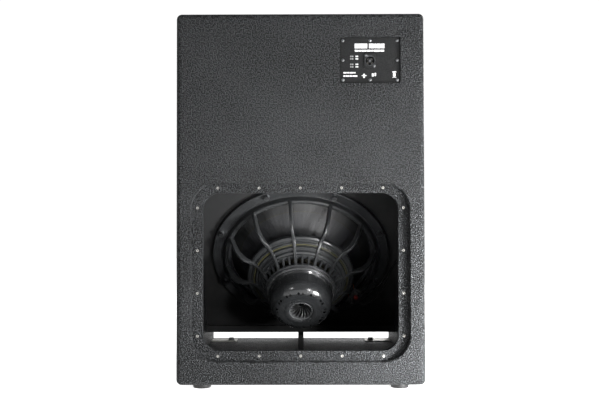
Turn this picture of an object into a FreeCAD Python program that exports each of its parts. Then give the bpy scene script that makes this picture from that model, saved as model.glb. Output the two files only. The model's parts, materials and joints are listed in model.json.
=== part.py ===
import FreeCAD, Part
import math
import os
import Sketcher
from FreeCAD import Placement, Rotation, Vector

# A portable bass loudspeaker with its rear hatch open. Millimetres; +Z up, the rear face towards -Y, and
# the origin on the ground under the middle of the cabinet.

doc = FreeCAD.newDocument("BassCabinet")
sheet = doc.addObject("Spreadsheet::Sheet", "sheet")


# ------------------------------------------------------------------ sizes that know their formula
def formula_of(size):
    """The text that a property is bound to."""
    if isinstance(size, Size):
        return size.formula
    return f"({float(size)})"


def number_of(size):
    """The value in millimetres or degrees."""
    return size.number if isinstance(size, Size) else float(size)


class Size:
    """A length or angle worked out from the sheet: its formula and its value."""

    def __init__(self, formula, number):
        self.formula = formula
        self.number = float(number)

    def __add__(self, other):
        return Size(f"({self.formula} + {formula_of(other)})", self.number + number_of(other))

    def __radd__(self, other):
        return self + other

    def __sub__(self, other):
        return Size(f"({self.formula} - {formula_of(other)})", self.number - number_of(other))

    def __rsub__(self, other):
        return Size(f"({formula_of(other)} - {self.formula})", number_of(other) - self.number)

    def __mul__(self, other):
        return Size(f"({self.formula} * {formula_of(other)})", self.number * number_of(other))

    def __rmul__(self, other):
        return self * other

    def __truediv__(self, other):
        return Size(f"({self.formula} / {formula_of(other)})", self.number / number_of(other))

    def __neg__(self):
        return 0 - self


def sin(angle):
    return Size(f"sin({formula_of(angle)})", math.sin(math.radians(number_of(angle))))


def cos(angle):
    return Size(f"cos({formula_of(angle)})", math.cos(math.radians(number_of(angle))))


rows = []


def cell(alias, number):
    """One driving dimension: a row of the sheet."""
    rows.append(alias)
    sheet.set(f"A{len(rows)}", alias)
    sheet.set(f"B{len(rows)}", str(number))
    sheet.setAlias(f"B{len(rows)}", alias)
    return Size(f"sheet.{alias}", number)


# ------------------------------------------------------------------ driving dimensions
# cabinet
width = cell("width", 560)
body_height = cell("body_height", 838)
depth = cell("depth", 700)
board = cell("board", 18)
divider_board = cell("divider_board", 15)
outer_round = cell("outer_round", 12)
foot_height = cell("foot_height", 9.5)
foot_radius = cell("foot_radius", 21)
foot_x = cell("foot_x", 225)
foot_y = cell("foot_y", 312)

# rear hatch
hatch_middle = cell("hatch_middle", 263)
recess_width = cell("recess_width", 492)
recess_height = cell("recess_height", 402)
recess_corner = cell("recess_corner", 60)
opening_width = cell("opening_width", 444)
opening_height = cell("opening_height", 357)
opening_corner = cell("opening_corner", 38)
ledge_top = cell("ledge_top", 484)
hatch_row_z = cell("hatch_row_z", 190)
hatch_row_pitch = cell("hatch_row_pitch", 93.65)
hatch_column_x = cell("hatch_column_x", 233.5)
hatch_column_pitch = cell("hatch_column_pitch", 96.6)
insert_outer = cell("insert_outer", 2.9)
insert_bore = cell("insert_bore", 1.65)
insert_length = cell("insert_length", 12)

# port
shelf_rear = cell("shelf_rear", 157)
port_height = cell("port_height", 40.5)
divider_rear = cell("divider_rear", 90)

# input plate and socket
plate_x = cell("plate_x", 158)
plate_z = cell("plate_z", 741)
plate_width = cell("plate_width", 135)
plate_height = cell("plate_height", 103)
plate_sheet = cell("plate_sheet", 2)
plate_rebate = cell("plate_rebate", 6)
plate_screw_x = cell("plate_screw_x", 61.3)
plate_screw_z = cell("plate_screw_z", 44.6)
socket_bore = cell("socket_bore", 10.75)
socket_barrel = cell("socket_barrel", 12)
socket_boss = cell("socket_boss", 5.4)
socket_depth = cell("socket_depth", 26)

# driver: the tilt of its baffle, the middle of its bolt plane, and its radii
tilt = cell("tilt", 40)
driver_y = cell("driver_y", -5)
driver_z = cell("driver_z", 283)
frame_radius = cell("frame_radius", 230)
bolt_circle = cell("bolt_circle", 219)
first_bolt = cell("first_bolt", 22.5)
flange_sheet = cell("flange_sheet", 10)
gasket_sheet = cell("gasket_sheet", 3)
cutout_radius = cell("cutout_radius", 206)
rib_count = 12
rib_turn = cell("rib_turn", 7.5)
rib_sheet = cell("rib_sheet", 8)
vents_between_ribs = 3
vent_half = cell("vent_half", 5.5)
coil_radius = cell("coil_radius", 50)
gap_play = cell("gap_play", 1.2)
plate_rear = cell("plate_rear", 133)
pot_rear = cell("pot_rear", 198)
pot_radius = cell("pot_radius", 77.5)
pot_shoulder = cell("pot_shoulder", 32)
vent_radius = cell("vent_radius", 29.5)
pot_hole_circle = cell("pot_hole_circle", 58.5)
pot_hole = cell("pot_hole", 3.3)
fin_count = 18
upper_baffle_rear = cell("upper_baffle_rear", -258)

# terminals on the basket
terminal_turn = cell("terminal_turn", 114)
terminal_radius = cell("terminal_radius", 150)
terminal_level = cell("terminal_level", 80)
terminal_spread = cell("terminal_spread", 12)
button_travel = cell("button_travel", 3)
wire_radius = cell("wire_radius", 1.4)

# handles, pole mount and grille
handle_z = cell("handle_z", 640)
handle_y = cell("handle_y", 20)
cup_depth = cell("cup_depth", 50)
cup_wall = cell("cup_wall", 3)
cup_rebate = cell("cup_rebate", 5)
bar_radius = cell("bar_radius", 11)
pole_bore = cell("pole_bore", 8.65)
pole_flange = cell("pole_flange", 50)
grille_front = cell("grille_front", 347)
grille_sheet = cell("grille_sheet", 1.5)
grille_fold = cell("grille_fold", 11)
doc.recompute()

half = width / 2
inner = half - board
deep = depth / 2
low = foot_height
high = foot_height + body_height
floor_top = low + board
roof = high - board
shelf_under = floor_top + port_height
shelf_top = shelf_under + board


# ------------------------------------------------------------------ helpers
parts = []


def keep(item, label):
    """Names a finished sub-part, which is then written out under that name."""
    item.Label = label
    parts.append(item)
    return item


def bind(item, name, size):
    item.setExpression(name, formula_of(size))


def new_body(label=None):
    """An empty body in the cabinet's own frame; one with a label is written out."""
    body = doc.addObject("PartDesign::Body", "Body")
    body.AllowCompound = True
    if label:
        keep(body, label)
    return body


def driver_body(label):
    """A body square to the driver: +Z along its axis towards the magnet, +Y up the baffle, 0 at its bolts."""
    body = new_body(label)
    body.Placement = Placement(Vector(), Rotation(Vector(1, 0, 0), 90 + number_of(tilt)))
    bind(body, "Placement.Rotation.Angle", 90 + tilt)
    bind(body, "Placement.Base.y", driver_y)
    bind(body, "Placement.Base.z", driver_z)
    return body


def rear_body(label, x, y, z):
    """A body that looks out of the back: its +Z points to -Y and its +Y up."""
    body = new_body(label)
    body.Placement = Placement(Vector(), Rotation(Vector(1, 0, 0), 90))
    bind(body, "Placement.Base.x", x)
    bind(body, "Placement.Base.y", y)
    bind(body, "Placement.Base.z", z)
    return body


def origin_part(body, role):
    return next(item for item in body.Origin.OriginFeatures if item.Role == role)


def sketch_on(body, role, offset=0, turn=0):
    """A sketch on one of the body's origin planes, moved along its normal and turned about its own y."""
    sketch = body.newObject("Sketcher::SketchObject", "Sketch")
    sketch.AttachmentSupport = (origin_part(body, role), "")
    sketch.MapMode = "FlatFace"
    around = Rotation(Vector(0, 1, 0), number_of(turn))
    sketch.AttachmentOffset = Placement(Vector(0, 0, number_of(offset)), around)
    bind(sketch, "AttachmentOffset.Base.z", offset)
    return sketch


def hold(sketch, kind, edge, end, size):
    """A driving distance from the sketch's origin, bound to its formula."""
    index = sketch.addConstraint(Sketcher.Constraint(kind, -1, 1, edge, end, number_of(size)))
    bind(sketch, f"Constraints[{index}]", size)


def hold_radius(sketch, edge, size):
    index = sketch.addConstraint(Sketcher.Constraint("Radius", edge, abs(number_of(size))))
    bind(sketch, f"Constraints[{index}]", size)


def arc_between(start, end, radius):
    """The shorter arc from start to end; a negative radius turns right. Gives it with its two end numbers."""
    chord = end - start
    sagitta = abs(radius) - math.sqrt(radius**2 - (chord.Length / 2) ** 2)
    outward = Vector(chord.y, -chord.x, 0).normalize() * math.copysign(sagitta, radius)
    middle = (start + end) / 2 + outward
    if radius > 0:
        return Part.Arc(start, middle, end), 1, 2
    return Part.Arc(end, middle, start), 2, 1


def outline(sketch, corners, bends=None):
    """A closed line through the corners; bends gives the radius of each stretch that is an arc, by the
    number of the corner it starts from, positive where it turns left and negative where it turns right."""
    bends = bends or {}
    points = [Vector(number_of(x), number_of(y), 0) for x, y in corners]
    first = sketch.GeometryCount
    ends = []
    for number, start in enumerate(points):
        end = points[(number + 1) % len(points)]
        edge, tail, head = Part.LineSegment(start, end), 1, 2
        if number in bends:
            edge, tail, head = arc_between(start, end, number_of(bends[number]))
        sketch.addGeometry(edge, False)
        ends.append((first + number, tail, head))
    for this, following in zip(ends, ends[1:] + ends[:1]):
        sketch.addConstraint(Sketcher.Constraint("Coincident", this[0], this[2], following[0], following[1]))
    for (edge, tail, _), (x, y) in zip(ends, corners):
        hold(sketch, "DistanceX", edge, tail, x)
        hold(sketch, "DistanceY", edge, tail, y)
    for number, radius in bends.items():
        size = radius if number_of(radius) > 0 else -radius
        hold_radius(sketch, first + number, size)
    return sketch


def rectangle(sketch, left, bottom, right, top):
    return outline(sketch, [(left, bottom), (right, bottom), (right, top), (left, top)])


def rounded(sketch, left, bottom, right, top, corner):
    """A rectangle with round corners."""
    corners = [
        (left + corner, bottom), (right - corner, bottom), (right, bottom + corner), (right, top - corner),
        (right - corner, top), (left + corner, top), (left, top - corner), (left, bottom + corner),
    ]
    return outline(sketch, corners, {1: corner, 3: corner, 5: corner, 7: corner})


def circle(sketch, x, y, radius):
    place = Vector(number_of(x), number_of(y), 0)
    edge = sketch.addGeometry(Part.Circle(place, Vector(0, 0, 1), number_of(radius)), False)
    hold(sketch, "DistanceX", edge, 3, x)
    hold(sketch, "DistanceY", edge, 3, y)
    hold_radius(sketch, edge, radius)
    return sketch


def pad(body, sketch, length, reverse=False, middle=False):
    """Raises the sketch along its normal, against it, or half each way."""
    feature = body.newObject("PartDesign::Pad", "Pad")
    feature.Profile = sketch
    bind(feature, "Length", length)
    feature.Reversed = reverse
    if middle:
        feature.SideType = "Symmetric"
    return feature


def pocket(body, sketch, length, reverse=False, middle=False):
    """Cuts the sketch in against its normal, and stops if nothing was cut."""
    doc.recompute()
    before = body.Shape.Volume
    feature = body.newObject("PartDesign::Pocket", "Pocket")
    feature.Profile = sketch
    bind(feature, "Length", length)
    feature.Reversed = reverse
    if middle:
        feature.SideType = "Symmetric"
    doc.recompute()
    if body.Shape.Volume > before - 1e-3:
        raise RuntimeError(f"{body.Label}: a pocket cut nothing")
    return feature


def revolve(body, sketch):
    feature = body.newObject("PartDesign::Revolution", "Revolution")
    feature.Profile = sketch
    feature.ReferenceAxis = (sketch, ["V_Axis"])
    feature.Angle = 360
    return feature


def around(body, features, count):
    """Repeats features evenly about the body's Z axis."""
    feature = body.newObject("PartDesign::PolarPattern", "PolarPattern")
    feature.Originals = features
    feature.Axis = (origin_part(body, "Z_Axis"), [""])
    feature.Angle = 360
    feature.Occurrences = count
    body.Tip = feature
    return feature


def soften(body, feature, radius, chosen):
    """Rounds the edges of a feature that the test picks."""
    doc.recompute()
    names = [f"Edge{n}" for n, edge in enumerate(feature.Shape.Edges, 1) if chosen(edge)]
    softened = body.newObject("PartDesign::Fillet", "Fillet")
    softened.Base = (feature, names)
    bind(softened, "Radius", radius)
    return softened


def box(x, y, z):
    """A plain block between pairs of planes."""
    block = doc.addObject("Part::Box", "Box")
    for side, name, span in (("Length", "x", x), ("Width", "y", y), ("Height", "z", z)):
        bind(block, side, span[1] - span[0])
        bind(block, f"Placement.Base.{name}", span[0])
    return block


def turned(label, corners, bends=None):
    """A piece turned about the driver's axis; the corners are radius and distance towards the magnet."""
    body = driver_body(label)
    revolve(body, outline(sketch_on(body, "XZ_Plane"), corners, bends))
    return body


def ring(body, level, thickness, bore, outer, x=0, y=0):
    """A flat ring raised from a level of the body."""
    sketch = sketch_on(body, "XY_Plane", level)
    circle(sketch, x, y, outer)
    circle(sketch, x, y, bore)
    return pad(body, sketch, thickness)


def disc(body, level, thickness, radius, x=0, y=0):
    return pad(body, circle(sketch_on(body, "XY_Plane", level), x, y, radius), thickness)


def drill(body, role, offset, centres, radius, length, reverse=False):
    """Round holes, all to one depth."""
    sketch = sketch_on(body, role, offset)
    for x, y in centres:
        circle(sketch, x, y, radius)
    return pocket(body, sketch, length, reverse)


def copies(label, pattern, places):
    """The same piece at several places, as one group of separate solids."""
    doc.recompute()
    group = doc.addObject("Part::Feature", "Group")
    solids = []
    for place in places:
        solid = pattern.Shape.copy()
        solid.Placement = place
        solids.append(solid)
    group.Shape = Part.makeCompound(solids)
    return keep(group, label)


def rear_place(x, y, z):
    """Where a piece drawn upright is turned to look out of the back."""
    return Placement(Vector(number_of(x), number_of(y), number_of(z)), Rotation(Vector(1, 0, 0), 90))


def screw(head, head_height, shank, length, cross=True):
    """A pan-head screw drawn upright: the head above 0, the shank below, a cross cut in the head."""
    body = new_body()
    corners = [
        (0, -length), (shank, -length), (shank, 0), (head, 0), (head, head_height / 2), (0, head_height),
    ]
    feature = revolve(body, outline(sketch_on(body, "XZ_Plane"), corners, {4: 2.2 * head}))
    if cross:
        slot = sketch_on(body, "XY_Plane", head_height)
        long, thin = 0.5 * head, 0.11 * head
        corners = [
            (thin, thin), (long, thin), (long, -thin), (thin, -thin), (thin, -long), (-thin, -long),
            (-thin, -thin), (-long, -thin), (-long, thin), (-thin, thin), (-thin, long), (thin, long),
        ]
        outline(slot, corners)
        feature = pocket(body, slot, 0.6 * head_height)
    body.Tip = feature
    return body


def mirror_pairs(x, y):
    """The four corners of a rectangle about the origin."""
    return [(x, y), (-x, y), (-x, -y), (x, -y)]


# ------------------------------------------------------------------ cabinet boards
def is_at(edge, axis, place):
    """True where the whole edge lies in one plane across an axis."""
    box_of = edge.BoundBox
    lowest = getattr(box_of, f"{axis}Min")
    highest = getattr(box_of, f"{axis}Max")
    return max(abs(lowest - number_of(place)), abs(highest - number_of(place))) < 1e-4


cup_long = 98
cup_tall = 48
cup_corner = 23
flange_long = 112
flange_tall = 62
flange_corner = 36
handle_screw_y = 105
handle_screw_z = 38
handle_marks = [(handle_y + y, handle_z + z) for y, z in mirror_pairs(handle_screw_y, handle_screw_z)]


def side_panel(label, side):
    """A side board with its outer edges rounded and the seat and hole of its handle; side is -1 or 1."""
    body = new_body(label)
    plate = sketch_on(body, "YZ_Plane", side * inner)
    feature = pad(body, rectangle(plate, -deep, low, deep, high), board, reverse=side < 0)
    soften(body, feature, outer_round, lambda edge: not is_at(edge, "X", side * inner))
    seat = sketch_on(body, "YZ_Plane", side * half)
    play = 0.3
    rounded(
        seat, handle_y - flange_long - play, handle_z - flange_tall - play,
        handle_y + flange_long + play, handle_z + flange_tall + play, flange_corner,
    )
    pocket(body, seat, cup_rebate, reverse=side < 0)
    hole = sketch_on(body, "YZ_Plane", side * half)
    rounded(
        hole, handle_y - cup_long - play, handle_z - cup_tall - play,
        handle_y + cup_long + play, handle_z + cup_tall + play, cup_corner,
    )
    pocket(body, hole, board, reverse=side < 0)
    drill(body, "YZ_Plane", side * (half - cup_rebate), handle_marks, 1.6, 12, reverse=side < 0)


side_panel("side_panel_left", -1)
side_panel("side_panel_right", 1)

pole_screw = 36
pole_marks = [(pole_screw * c, pole_screw * s) for c, s in ((1, 0), (0, 1), (-1, 0), (0, -1))]

top = new_body("top_panel")
feature = pad(top, rectangle(sketch_on(top, "XY_Plane", roof), -inner, -deep, inner, deep), board)
soften(top, feature, outer_round, lambda edge: is_at(edge, "Z", high) and not is_at(edge, "X", inner)
       and not is_at(edge, "X", -inner))
drill(top, "XY_Plane", high, [(0, 0)], pole_flange + 0.3, 6)
drill(top, "XY_Plane", high, [(0, 0)], 19.5, board)
drill(top, "XY_Plane", high - 6, pole_marks, 1.9, 11)

foot_marks = mirror_pairs(foot_x, foot_y)
foot_bolt_inset = 21
foot_plate_inset = 26
foot_bolt_marks = [(side * (foot_x - foot_bolt_inset), end * (foot_y - foot_plate_inset))
                   for side in (-1, 1) for end in (-1, 1)]

bottom = new_body("bottom_panel")
feature = pad(bottom, rectangle(sketch_on(bottom, "XY_Plane", low), -inner, -deep, inner, deep), board)
soften(bottom, feature, outer_round, lambda edge: is_at(edge, "Z", low) and not is_at(edge, "X", inner)
       and not is_at(edge, "X", -inner))
drill(bottom, "XY_Plane", low, foot_marks, 2.5, 15, reverse=True)
drill(bottom, "XY_Plane", floor_top, foot_bolt_marks, 4.1, 14)

back = new_body("back_panel")
back_face = sketch_on(back, "XZ_Plane", deep)
pad(back, rectangle(back_face, -inner, floor_top, inner, roof), board, reverse=True)
recess = sketch_on(back, "XZ_Plane", deep)
rounded(
    recess, -recess_width / 2, hatch_middle - recess_height / 2,
    recess_width / 2, hatch_middle + recess_height / 2, recess_corner,
)
feature = pocket(back, recess, board)
soften(back, feature, 2.5, lambda edge: is_at(edge, "Y", -deep) and edge.BoundBox.ZMax < 480
       and edge.BoundBox.ZMin > 40)
rebate = sketch_on(back, "XZ_Plane", deep)
plate_play = 1.2
rounded(
    rebate, plate_x - plate_width / 2 - plate_play, plate_z - plate_height / 2 - plate_play,
    plate_x + plate_width / 2 + plate_play, plate_z + plate_height / 2 + plate_play, 3,
)
pocket(back, rebate, plate_rebate)
cutout = sketch_on(back, "XZ_Plane", deep)
rounded(cutout, plate_x - 50, plate_z - 34, plate_x + 50, plate_z + 34, 6)
pocket(back, cutout, board)
plate_marks = mirror_pairs(plate_screw_x, plate_screw_z)
plate_marks += [(plate_screw_x, 0), (-plate_screw_x, 0), (0, plate_screw_z), (0, -plate_screw_z)]
rear_marks = [(plate_x + x, plate_z + z) for x, z in plate_marks]
drill(back, "XZ_Plane", deep - plate_rebate, rear_marks, 1.6, 12)

ledge = new_body("hatch_ledge_frame")
face = sketch_on(ledge, "XZ_Plane", deep - board)
rectangle(face, -inner, floor_top, inner, ledge_top)
rounded(
    face, -opening_width / 2, hatch_middle - opening_height / 2,
    opening_width / 2, hatch_middle + opening_height / 2, opening_corner,
)
pad(ledge, face, board, reverse=True)
hatch_marks = [(column * hatch_row_pitch, hatch_middle + side * hatch_row_z)
               for side in (-1, 1) for column in (-2, -1, 0, 1, 2)]
hatch_marks += [(side * hatch_column_x, hatch_middle + step * hatch_column_pitch)
                for side in (-1, 1) for step in (-1.5, -0.5, 0.5, 1.5)]
drill(ledge, "XZ_Plane", deep - board, hatch_marks, insert_outer + 0.05, insert_length + 1)

insert = new_body()
ring(insert, 0, insert_length, insert_bore, insert_outer)
insert_plane = -(deep - board) + insert_length
copies("hatch_inserts", insert, [rear_place(x, insert_plane, z) for x, z in hatch_marks])

# the leaning baffle, cut level where it stands on the shelf and upright where it meets the upper baffle
baffle_face = -(flange_sheet + gasket_sheet)
baffle_back = baffle_face - board
upper_baffle_front = upper_baffle_rear + board


def foot_of_baffle(level):
    return (shelf_top - driver_z + sin(tilt) * level) / cos(tilt)


def head_of_baffle(level):
    return (driver_y - cos(tilt) * level - upper_baffle_front) / sin(tilt)


baffle = driver_body("driver_baffle")
section = sketch_on(baffle, "YZ_Plane")
outline(section, [
    (foot_of_baffle(baffle_back), baffle_back), (head_of_baffle(baffle_back), baffle_back),
    (head_of_baffle(baffle_face), baffle_face), (foot_of_baffle(baffle_face), baffle_face),
])
pad(baffle, section, 2 * inner, middle=True)
drill(baffle, "XY_Plane", 0, [(0, 0)], cutout_radius, 60)
bolt_x = bolt_circle * sin(first_bolt)
bolt_y = bolt_circle * cos(first_bolt)
feature = drill(baffle, "XY_Plane", 0, [(bolt_x, bolt_y)], 5.2, 60)
around(baffle, [feature], 8)

keep(box((-inner, inner), (upper_baffle_rear, upper_baffle_front), (575, roof)), "upper_baffle")
keep(box((-inner, inner), (shelf_rear, deep), (shelf_under, shelf_top)), "port_shelf")
keep(box((-divider_board / 2, divider_board / 2), (divider_rear, deep), (floor_top, shelf_under)), "port_divider")


# ------------------------------------------------------------------ grille
batten = 20
grille_rear = grille_front - grille_fold
screw_levels = [shelf_top + 60, shelf_top + 266, roof - 266, roof - 60]
screw_x = inner - batten / 2


def grille_batten(label, side):
    """An upright strip that the grille is screwed to."""
    edges = sorted((side * inner, side * (inner - batten)), key=number_of)
    body = new_body(label)
    face = sketch_on(body, "XZ_Plane", -grille_rear)
    pad(body, rectangle(face, edges[0], shelf_top, edges[1], roof), 20)
    drill(body, "XZ_Plane", -grille_rear, [(side * screw_x, z) for z in screw_levels], 2.6, 16, reverse=True)


grille_batten("grille_batten_left", -1)
grille_batten("grille_batten_right", 1)

grille = new_body("grille")
face = sketch_on(grille, "XZ_Plane", -grille_front)
margin = 1
pad(grille, rectangle(face, -inner + margin, shelf_top + margin, inner - margin, roof - margin), grille_fold)
hollow = sketch_on(grille, "XZ_Plane", -(grille_front - grille_sheet))
wall = margin + grille_sheet
rectangle(hollow, -inner + wall, shelf_top + wall, inner - wall, roof - wall)
pocket(grille, hollow, grille_fold, reverse=True)
drill(grille, "XZ_Plane", -grille_front, [(side * screw_x, z) for side in (-1, 1) for z in screw_levels],
      2.8, 3, reverse=True)

foam_edge = batten + 2
keep(box((-inner + foam_edge, inner - foam_edge), (grille_rear + 1, grille_front - grille_sheet),
         (shelf_top + 3, roof - 3)), "grille_foam")

grille_screw = screw(4.5, 2.6, 2.5, 22)
copies("grille_screws", grille_screw, [
    Placement(Vector(side * number_of(screw_x), number_of(grille_front), number_of(z)),
              Rotation(Vector(1, 0, 0), -90))
    for side in (-1, 1) for z in screw_levels])


# ------------------------------------------------------------------ feet
foot = new_body()
corners = [
    (6.5, 0), (foot_radius - 1, 0), (foot_radius, foot_height - 2), (foot_radius, foot_height),
    (2.7, foot_height), (2.7, 5), (6.5, 5),
]
revolve(foot, outline(sketch_on(foot, "XZ_Plane"), corners))
ground_marks = [Vector(number_of(x), number_of(y), 0) for x, y in foot_marks]
copies("rubber_feet", foot, [Placement(mark, Rotation()) for mark in ground_marks])

washer = new_body()
ring(washer, 3.7, 1.2, 2.7, 6.2)
copies("foot_washers", washer, [Placement(mark, Rotation()) for mark in ground_marks])

foot_screw = screw(4.6, 2.6, 2.4, 18)
under = Rotation(Vector(1, 0, 0), 180)
copies("foot_screws", foot_screw, [Placement(mark + Vector(0, 0, 3.7), under) for mark in ground_marks])

plate_sheet_foot = 2.5
foot_plate = new_body()
rectangle_of_plate = sketch_on(foot_plate, "XY_Plane", floor_top)
rounded(rectangle_of_plate, -38, -26, 36, 26, 4)
circle(rectangle_of_plate, -foot_bolt_inset, 0, 4.3)
pad(foot_plate, rectangle_of_plate, plate_sheet_foot)
corner_places = [
    Placement(Vector(side * number_of(foot_x), end * (number_of(foot_y) - foot_plate_inset), 0),
              Rotation(Vector(0, 0, 1), turn))
    for side, end, turn in ((1, 1, 0), (1, -1, 0), (-1, 1, 180), (-1, -1, 180))]
copies("foot_plates", foot_plate, corner_places)

foot_bolt = new_body()
bolt_level = floor_top + plate_sheet_foot
disc(foot_bolt, bolt_level, 1.6, 9.5, -foot_bolt_inset)
hexagon = sketch_on(foot_bolt, "XY_Plane", bolt_level + 1.6)
across = 7.5
outline(hexagon, [(across * math.cos(math.radians(60 * k)) - foot_bolt_inset,
                   across * math.sin(math.radians(60 * k))) for k in range(6)])
pad(foot_bolt, hexagon, 5.5)
disc(foot_bolt, bolt_level - 15.5, 15.5, 4, -foot_bolt_inset)
copies("foot_plate_bolts", foot_bolt, corner_places)


# ------------------------------------------------------------------ input plate
plate_face = -deep + plate_rebate - plate_sheet
plate = rear_body("input_plate", plate_x, plate_face, plate_z)
face = sketch_on(plate, "XY_Plane")
rounded(face, -plate_width / 2, -plate_height / 2, plate_width / 2, plate_height / 2, 2)
pad(plate, face, plate_sheet, reverse=True)
drill(plate, "XY_Plane", 0, [(0, -1)], socket_barrel + 0.2, 5)
drill(plate, "XY_Plane", 0, plate_marks, 1.9, 5)
socket_marks = [(-9.5, 11), (9.5, -13)]
drill(plate, "XY_Plane", 0, socket_marks, 1.4, 5)

plate_screw = screw(3.4, 2.2, 1.5, 12)
copies("input_plate_screws", plate_screw,
       [rear_place(plate_x + x, plate_face, plate_z + z) for x, z in plate_marks])

socket_z = plate_z - 1
flange = 2
socket = rear_body("speaker_socket", plate_x, plate_face, socket_z)
face = sketch_on(socket, "XY_Plane")
rounded(face, -13, -15.5, 13, 15.5, 3)
circle(face, 0, 0, socket_bore)
pad(socket, face, flange)
ring(socket, -socket_depth, socket_depth, socket_bore, socket_barrel)
disc(socket, -socket_depth, 3, socket_bore)
disc(socket, -socket_depth, socket_depth - 1, socket_boss)
contact_radius = 6.2
contact_sheet = 0.8
contact_half = 2.4
slot = sketch_on(socket, "XY_Plane", 3 - socket_depth, 0)
rectangle(slot, contact_radius - 0.05, -contact_half - 0.05,
          contact_radius + contact_sheet + 0.05, contact_half + 0.05)
slot.AttachmentOffset = Placement(slot.AttachmentOffset.Base, Rotation(Vector(0, 0, 1), 45))
feature = pocket(socket, slot, 5)
around(socket, [feature], 4)
drill(socket, "XY_Plane", flange, [(-9.5, 12), (9.5, -12)], 1.4, 5)

contacts = rear_body("socket_contacts", plate_x, plate_face, socket_z)
blade = sketch_on(contacts, "XY_Plane", -socket_depth - 7)
rectangle(blade, contact_radius, -contact_half, contact_radius + contact_sheet, contact_half)
blade.AttachmentOffset = Placement(blade.AttachmentOffset.Base, Rotation(Vector(0, 0, 1), 45))
around(contacts, [pad(contacts, blade, socket_depth + 1)], 4)

socket_screw = screw(2.7, 1.4, 1.3, 6)
copies("socket_screws", socket_screw,
       [rear_place(plate_x + x, plate_face - flange, socket_z + z) for x, z in ((-9.5, 12), (9.5, -12))])


# ------------------------------------------------------------------ driver
plate_front = plate_rear - 12
basket = turned("basket", [
    (frame_radius, -flange_sheet), (frame_radius, -1.5), (frame_radius - 1.5, 0), (208, 0), (206.5, -3.5),
    (202, -3.5), (200, 4), (199.5, 8), (197, 11), (190, 12), (188, 9), (188.5, 0), (190, -1),
    (200, -8.5), (202, -flange_sheet),
])
landing = sketch_on(basket, "XZ_Plane")
outline(landing, [
    (136, 66), (136, 75), (132, 78), (125, 78), (123, 83), (116, 83), (114.5, 90), (108, 91), (106, 98), (102, 99),
    (100.5, 104), (90, 122), (89.5, 127), (85.3, 127), (85.3, plate_front), (78, plate_front), (78, 114), (83, 112),
    (107, 82), (109, 76), (111, 72), (130, 72), (131, 66),
])
revolve(basket, landing)
vent_turn = rib_turn - 180 / (vents_between_ribs * rib_count)
collar_radius = 85
vent_middle = collar_radius * sin(vent_turn)
slot = sketch_on(basket, "YZ_Plane", collar_radius, vent_turn)
rectangle(slot, vent_middle - vent_half, 104, vent_middle + vent_half, 123)
feature = pocket(basket, slot, 24, reverse=True)
around(basket, [feature], vents_between_ribs * rib_count)
rib = sketch_on(basket, "XZ_Plane", 0, rib_turn)
outline(rib, [
    (199, 10), (191, 28), (186, 44), (178, 60), (168, 71), (158, 77.5), (148, 80), (134, 80), (123, 86),
    (114, 94), (103.5, 107), (93, 122), (91.5, 126.5), (87, 126.5), (87, 118), (90, 108), (110, 84), (114, 76),
    (130, 76), (134, 70),
    (148, 67), (158, 60), (168, 49), (176, 34), (182, 18), (190, 2),
])
around(basket, [pad(basket, rib, rib_sheet, middle=True)], rib_count)
feature = drill(basket, "XY_Plane", 2, [(bolt_x, bolt_y)], 4.3, 20)
around(basket, [feature], 8)

gasket = driver_body("basket_gasket")
ring(gasket, -flange_sheet - gasket_sheet, gasket_sheet, 208, 229)
feature = drill(gasket, "XY_Plane", 0, [(bolt_x, bolt_y)], 4.3, 20)
around(gasket, [feature], 8)

bolts = driver_body("driver_bolts")
head = disc(bolts, 1.6, 8, 6.5, bolt_x, bolt_y)
shank = disc(bolts, -29, 30.6, 3.9, bolt_x, bolt_y)
around(bolts, [head, shank], 8)

washers = driver_body("driver_washers")
around(washers, [ring(washers, 0, 1.6, 4.1, 8, bolt_x, bolt_y)], 8)

nuts = driver_body("baffle_t_nuts")
nut_flange = ring(nuts, baffle_back - 1.5, 1.5, 4.1, 11, bolt_x, bolt_y)
nut_barrel = ring(nuts, baffle_back, 12, 4.1, 5.1, bolt_x, bolt_y)
around(nuts, [nut_flange, nut_barrel], 8)

turned("surround", [
    (177, -12.6), (181, -12.6), (184, -19), (188, -19), (191, -13), (194, -19), (198, -19), (200.5, -12),
    (207, -12), (207, -10), (199.5, -10), (196.5, -16.5), (195.5, -16.5), (192, -10.5), (190, -10.5),
    (186.5, -16.5), (185.5, -16.5), (182, -11.3), (177, -11.3),
])
cone_edge = 181
cone_sheet = 1.6
cone_top = -11
cone_neck = 62
turned("cone", [
    (cone_edge, cone_top), (cone_edge, cone_top + cone_sheet), (coil_radius + 0.5, cone_neck + 3),
    (coil_radius + 0.5, cone_neck),
])
cap_edge = 72
cap_level = 49.4
cap_bow = 125
turned("dust_cap", [(0, 28), (cap_edge, cap_level), (cap_edge - 1, cap_level + 1.1), (0, 29.2)],
       {0: cap_bow, 2: -cap_bow})
turned("spider", [
    (coil_radius + 0.6, 70.2), (58, 70.2), (62, 67.5), (74, 67.5), (80, 70.4), (129.5, 70.4), (129.5, 71.8),
    (79, 71.8), (73, 69), (63, 69), (59, 71.6), (coil_radius + 0.6, 71.6),
])
former = coil_radius + 0.2
turned("voice_coil_former", [(coil_radius - 0.3, 60), (former, 60), (former, 150), (coil_radius - 0.3, 150)])
winding = former + 1.7
turned("voice_coil_winding", [(former, 112), (winding, 112), (winding, 142), (former, 142)])
turned("top_plate", [
    (winding + gap_play, plate_front), (85, plate_front), (85, plate_rear), (winding + gap_play, plate_rear),
])
pole_radius = coil_radius - 0.3 - gap_play
turned("pole_piece", [(24, 119), (pole_radius, 119), (pole_radius, 152), (24, 152)])
turned("magnet", [(30, 152), (46, 152), (46, 182), (30, 182)])

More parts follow.
